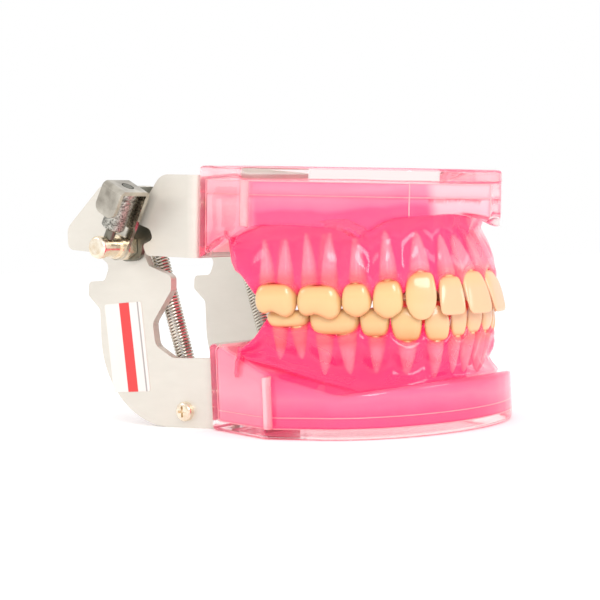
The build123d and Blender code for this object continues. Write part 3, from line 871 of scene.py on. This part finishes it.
def corner_posts(outline, depth, low, high, turn, posts):
    """Upright paths at the plan's corners: thin ones on the core, thick ones halfway out to the face."""
    paths = []
    for place_in_plan, radius in posts:
        for outer, inner in zip(outline, inset(outline, depth)):
            if (abs(outer[0]), outer[1]) != place_in_plan:
                continue
            x, y = inner if radius == THIN_POST_R else [(a + b) / 2 for a, b in zip(outer, inner)]
            bottom, top = low(y) + POST_GAP, high(y) - POST_GAP
            steps = [bottom + (top - bottom) * i / 6 for i in range(7)]
            paths.append(([Vector(turn(x, y, z)) for z in steps], radius))
    return paths


def make_seams(jaw, paths):
    """The pale joint lines and corner posts of a base, as one piece."""
    points = []
    faces = []
    for path, radius in paths:
        rings = tube(path, radius)
        faces += loft(rings, start=len(points))
        points += [p for ring in rings for p in ring]
    obj = mesh_object(jaw + "_base_seams", points, faces, SEAM)
    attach(obj, jaw + "_jaw")


def flat(z):
    """A height function that is the same everywhere."""
    return lambda y: z


def upper_low(y):
    """Underside of the upper base."""
    return profile(UPPER_UNDERSIDE, y)


def upper_core_low(y):
    """Underside of the upper core, which rises away from the base's underside towards the back."""
    return upper_low(y) + 0.3 + 2.0 * smooth(y, -22.0, -6.0)


def lower_high(y):
    """Top of the lower base."""
    return profile(LOWER_RIM, y)


def lower_core_high(y):
    """Top of the lower core."""
    return lower_high(y) - 0.6


def make_upper_base():
    """Clear shell, pink core and pale seams of the upper base."""
    plan = upper_outline()
    shell = block(plan, upper_low, flat(TOP_Z), depth=0.0, edge=0.8, corner=1.6, turn=tilt)
    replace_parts(base_piece("upper_base_shell", shell, CLEAR, "upper", True), "upper_base")
    top = flat(TOP_Z - UPPER_LAYER)
    core = block(plan, upper_core_low, top, UPPER_WALL, edge=0.35, corner=0.8, turn=tilt, groove=3.0)
    base_piece("upper_base_core", core, UPPER_CORE, "upper", True)
    paths = level_seams(plan, UPPER_SEAM_DEPTH, UPPER_SEAM_LEVELS, tilt)
    paths += corner_posts(plan, UPPER_SEAM_DEPTH, upper_low, flat(UPPER_POST_TOP), tilt, UPPER_POSTS)
    make_seams("upper", paths)


def make_lower_base():
    """Clear shell, pink core and pale seams of the lower base."""
    plan = lower_outline()
    shell = block(plan, flat(0.0), lower_high, depth=0.0, edge=1.0, corner=1.6)
    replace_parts(base_piece("lower_base_shell", shell, CLEAR, "lower", True), "lower_base")
    core = block(plan, flat(LOWER_LAYER), lower_core_high, LOWER_WALL, edge=0.5, corner=0.8)
    base_piece("lower_base_core", core, LOWER_CORE, "lower", True)
    paths = level_seams(plan, LOWER_SEAM_DEPTH, LOWER_SEAM_LEVELS, as_drawn)
    paths += corner_posts(plan, LOWER_SEAM_DEPTH, flat(LOWER_POST_FOOT), lower_high, as_drawn, LOWER_POSTS)
    make_seams("lower", paths)


# ---- springs --------------------------------------------------------------------------------
LOWER_PIN = Vector((0.0, 9.2, 3.9))
UPPER_PIN = Vector((0.0, 22.2, 50.0))
SPRING_X = 16.5
COIL_R = 1.86
WIRE_R = 0.33
HOOK_R = 1.75
TURNS = 52
STEPS_PER_TURN = 18


def make_spring(side):
    """A close-wound tension spring: a helix with a ring hook at each end."""
    sign = -1 if side == "right" else 1
    along = (UPPER_PIN - LOWER_PIN).normalized()
    length = (UPPER_PIN - LOWER_PIN).length
    across = Vector((1, 0, 0))
    third = along.cross(across)
    first, last = 2 * HOOK_R + 0.6, length - 2 * HOOK_R - 0.6

    def point(p, q, s):
        centre = LOWER_PIN + along * s + across * (sign * SPRING_X)
        return centre + across * p + third * q

    coil = []
    steps = TURNS * STEPS_PER_TURN
    for i in range(steps + 1):
        turn = 2 * pi * TURNS * i / steps
        coil.append(point(COIL_R * cos(turn), COIL_R * sin(turn), first + (last - first) * i / steps))
    lower_hook = []
    upper_hook = []
    for i in range(33):
        turn = radians(-90 + 330 * i / 32)
        lower_hook.append(point(0.0, -HOOK_R * cos(turn), -HOOK_R * sin(turn)))
        upper_hook.append(point(0.0, HOOK_R * cos(turn), length + HOOK_R * sin(turn)))
    lower_path = [point(COIL_R, 0, first), point(COIL_R * 0.5, 0, first - 0.25)]
    lower_path += [point(0, 0, HOOK_R + 0.1)] + lower_hook
    end = 2 * pi * TURNS
    upper_path = [point(COIL_R * cos(end), COIL_R * sin(end), last), point(COIL_R * 0.5, 0, last + 0.25)]
    upper_path += [point(0, 0, length - HOOK_R - 0.1)] + upper_hook
    points = []
    faces = []
    for path in (coil, lower_path, upper_path):
        rings = tube(path, WIRE_R)
        faces += loft(rings, start=len(points))
        points += [p for ring in rings for p in ring]
    obj = mesh_object(side + "_spring_coil", points, faces, SPRING)
    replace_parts(obj, side + "_spring")
    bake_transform(obj)


# ---- knurled nuts ---------------------------------------------------------------------------
HINGE = (24.0, 43.2)
ADJUST_X = 30.45
ADJUST_TILT = radians(29.7)
KNURL_START = 5.45       # along the nut's axis from the hinge axis
KNURL_LENGTH = 6.6
KNURL_ROWS = 44
KNURL_DEPTH = 0.18
KNURL_RIDGES = 14
KNURL_TWIST = 3.2        # turn of the ridges in radians per millimetre
# distance from the hinge axis and radius, for the double collar at the nut's top
COLLAR = [
    (12.2, 2.6), (12.25, 2.72), (12.4, 2.8), (13.0, 2.8),
    (13.08, 2.7), (13.12, 2.4), (13.48, 2.4), (13.52, 2.7),
    (13.6, 2.8), (14.7, 2.8), (14.86, 2.68), (14.9, 2.5), (14.9, 1.35),
]


def make_knurled_nut(side):
    """Barrel with a cross knurl and a plain double collar at its top."""
    sign = -1 if side == "right" else 1
    rows = [(5.0, 1.35, 0), (5.0, 2.3, 0), (5.3, 2.6, 0)]
    rows += [(KNURL_START + KNURL_LENGTH * i / KNURL_ROWS, 2.62, 1) for i in range(KNURL_ROWS + 1)]
    rows += [(distance, radius, 0) for distance, radius in COLLAR]
    count = 112
    across = Vector((1, 0, 0))
    axis = Vector((0, -sin(ADJUST_TILT), cos(ADJUST_TILT)))
    level = Vector((0, cos(ADJUST_TILT), sin(ADJUST_TILT)))
    middle = Vector((sign * ADJUST_X, HINGE[0], HINGE[1]))
    rings = []
    for s, radius, cut in rows:
        ring = []
        for i in range(count):
            turn = 2 * pi * i / count
            twist = KNURL_TWIST * s
            ridge = abs(sin(KNURL_RIDGES * turn + twist)) * abs(sin(KNURL_RIDGES * turn - twist))
            r = radius + cut * KNURL_DEPTH * ridge
            around = across * r * cos(turn) + level * r * sin(turn)
            ring.append(tuple(middle + axis * s + around))
        rings.append(ring)
    points = [p for ring in rings for p in ring]
    obj = mesh_object(side + "_nut_knurl", points, loft(rings, close_ends=False), KNURL, True)
    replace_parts(obj, side + "_knurled_nut")
    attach(obj, side + "_knurled_nut")


# ---- carried-over metal ---------------------------------------------------------------------
# the hinge arms take the dark steel, whose dark tone there is painted shade
CARRIED = {
    "lower_frame": SHEET, "upper_frame": SHEET, "right_hinge_arm": DARK_STEEL_AND_SHADE, "left_hinge_arm": DARK_STEEL_AND_SHADE,
    "hinge_bolts": BRIGHT, "hinge_nuts": BRIGHT, "hinge_washers": BRIGHT, "hinge_sleeves": BRIGHT,
    "right_strap": STRAP, "left_strap": STRAP, "right_stud": DARK_STEEL_AND_SHADE, "left_stud": DARK_STEEL_AND_SHADE,
    "spring_screws": BRIGHT, "spring_screw_nuts": BRIGHT, "spring_pins": DARK_STEEL_AND_SHADE,
    "upper_base_screws": BRIGHT, "lower_base_screws": BRIGHT, "side_label": LABEL,
}


def dress_carried():
    """Gives each shown CAD node its procedural material."""
    for node, material in CARRIED.items():
        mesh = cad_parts[node].data
        mesh.materials.clear()
        mesh.materials.append(material)


# ---- stage ----------------------------------------------------------------------------------
def make_floor():
    """A plain pale floor."""
    half = 3000
    corners = [(-half, -half, -0.02), (half, -half, -0.02), (half, half, -0.02), (-half, half, -0.02)]
    material, tree, shader = new_material("pale_floor")
    set_shader(shader, Roughness=0.9)
    colour = ramp(tree, noise(tree, 4, 1.0), [(0.3, (0.95, 0.95, 0.95)), (0.7, (0.97, 0.97, 0.97))])
    glow(shader, (1.0, 1.0, 1.0), 0.1)
    tree.links.new(colour, shader.inputs["Base Color"])
    floor = mesh_object("floor", corners, [(0, 1, 2, 3)], material)


def area_light(name, position, target, size, power):
    """A round softbox aimed at a point; positions in metres, power in watts."""
    light = bpy.data.lights.new(name, "AREA")
    light.shape = "DISK"
    light.size = size
    light.energy = power
    obj = bpy.data.objects.new(name, light)
    bpy.context.scene.collection.objects.link(obj)
    obj.location = position
    aim = Vector(target) - Vector(position)
    obj.rotation_euler = aim.to_track_quat("-Z", "Y").to_euler()


def make_lights():
    """White surroundings and soft boxes."""
    world = bpy.data.worlds.new("studio")
    bpy.context.scene.world = world
    world.use_nodes = True
    background = world.node_tree.nodes["Background"]
    background.inputs["Color"].default_value = (1.0, 1.0, 1.0, 1.0)
    background.inputs["Strength"].default_value = 1.0
    centre = (0.0, -0.01, 0.03)
    area_light("key", (-0.48, -0.50, 0.42), centre, 0.36, 2.2)
    area_light("fill", (0.20, -0.80, 0.30), centre, 0.3, 0.7)
    area_light("rim", (-0.45, 0.45, 0.45), centre, 0.3, 0.6)


CAMERA_AT = Vector((-0.31950, -0.23759, 0.04142))
CAMERA_TO = Vector((-0.0173, -0.01250, 0.02951))
CAMERA_ROLL = radians(-2.25)
CAMERA_LENS = 100.45


def make_camera():
    """The camera, fitted to the photograph."""
    data = bpy.data.cameras.new("camera")
    data.lens = CAMERA_LENS
    data.sensor_width = 36.0
    camera = bpy.data.objects.new("camera", data)
    bpy.context.scene.collection.objects.link(camera)
    ahead = (CAMERA_TO - CAMERA_AT).normalized()
    level = ahead.cross(Vector((0, 0, 1))).normalized()
    up = level.cross(ahead)
    right = level * cos(CAMERA_ROLL) + up * sin(CAMERA_ROLL)
    top = up * cos(CAMERA_ROLL) - level * sin(CAMERA_ROLL)
    turn = Matrix((right, top, -ahead)).transposed()
    camera.matrix_world = Matrix.Translation(CAMERA_AT) @ turn.to_4x4()
    bpy.context.scene.camera = camera


# ---- build ----------------------------------------------------------------------------------
make_camera()
make_lights()
make_floor()
dress_carried()
make_upper_base()
make_lower_base()
make_gum("upper", UPPER_TEETH, UPPER, UPPER_CHEEK, UPPER_LIP, 51.0, 4.4, 65.0, UPPER_PLAN[:2])
make_gum("lower", LOWER_TEETH, LOWER, LOWER_CHEEK, LOWER_LIP, 5.0, 3.6, 61.0, LOWER_HEEL)
make_palate(UPPER, 60.0)
make_teeth("upper", UPPER_TEETH, UPPER)
make_teeth("lower", LOWER_TEETH, LOWER)
for side in ("right", "left"):
    make_spring(side)
    make_knurled_nut(side)
bpy.context.scene.view_settings.view_transform = "Standard"
